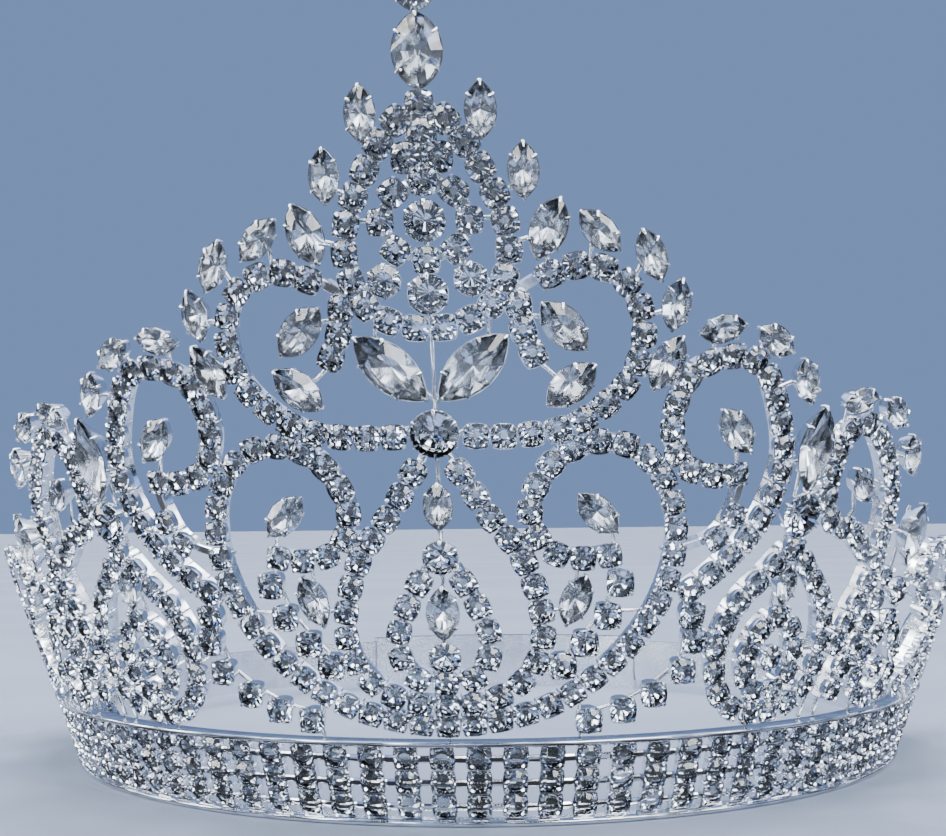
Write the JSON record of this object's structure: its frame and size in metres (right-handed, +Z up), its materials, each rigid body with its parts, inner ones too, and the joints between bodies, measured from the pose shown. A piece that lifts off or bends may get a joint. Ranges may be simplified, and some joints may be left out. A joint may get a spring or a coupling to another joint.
{
  "type": "rhinestone tiara",
  "caption": "Tall flared tiara of silver scrollwork set with clear stones, on a pierced head band with an adjustable back strip.",
  "frame": {"origin": "centre of the head ring, on the plane of its bottom edge", "axes": "+Z up, -Y towards the front of the tiara, +X towards the right of someone who faces it"},
  "size_m": [0.2088, 0.236, 0.1317],
  "materials": {
    "band_silver": "bright silver plate",
    "scroll_silver": "bright silver plate",
    "back_silver": "bright silver plate with fine wear",
    "crystal": "clear cut rhinestone with a foiled back"
  },
  "bodies": {
    "root": {"band_frame": "band_silver", "scrollwork": "scroll_silver", "back_band_left": "back_silver", "back_band_right": "back_silver", "size_sleeve": "back_silver", "finial_round": "crystal", "finial_navette": "crystal", "crest_round": "crystal", "bridge_round": "crystal", "centre_round": "crystal", "upright_navette": "crystal", "drop_round": "crystal", "drop_navette": "crystal", "drop_base_round": "crystal", "crown_navette_1_left": "crystal", "crown_navette_1_right": "crystal", "crown_navette_2_left": "crystal", "crown_navette_2_right": "crystal", "crown_navette_3_left": "crystal", "crown_navette_3_right": "crystal", "crown_navette_4_left": "crystal", "crown_navette_4_right": "crystal", "crown_navette_5_left": "crystal", "crown_navette_5_right": "crystal", "crown_navette_6_left": "crystal", "crown_navette_6_right": "crystal", "crown_navette_7_left": "crystal", "crown_navette_7_right": "crystal", "wing_navette_left": "crystal", "wing_navette_right": "crystal", "scroll_navette_left": "crystal", "scroll_navette_right": "crystal", "scroll_end_navette_left": "crystal", "scroll_end_navette_right": "crystal", "bowl_end_navette_left": "crystal", "bowl_end_navette_right": "crystal", "bowl_navette_left": "crystal", "bowl_navette_right": "crystal", "tier_navette_left": "crystal", "tier_navette_right": "crystal", "medallion_navette_left": "crystal", "medallion_navette_right": "crystal", "side_stones_left": "crystal", "side_stones_right": "crystal"}
  },
  "joints": []
}
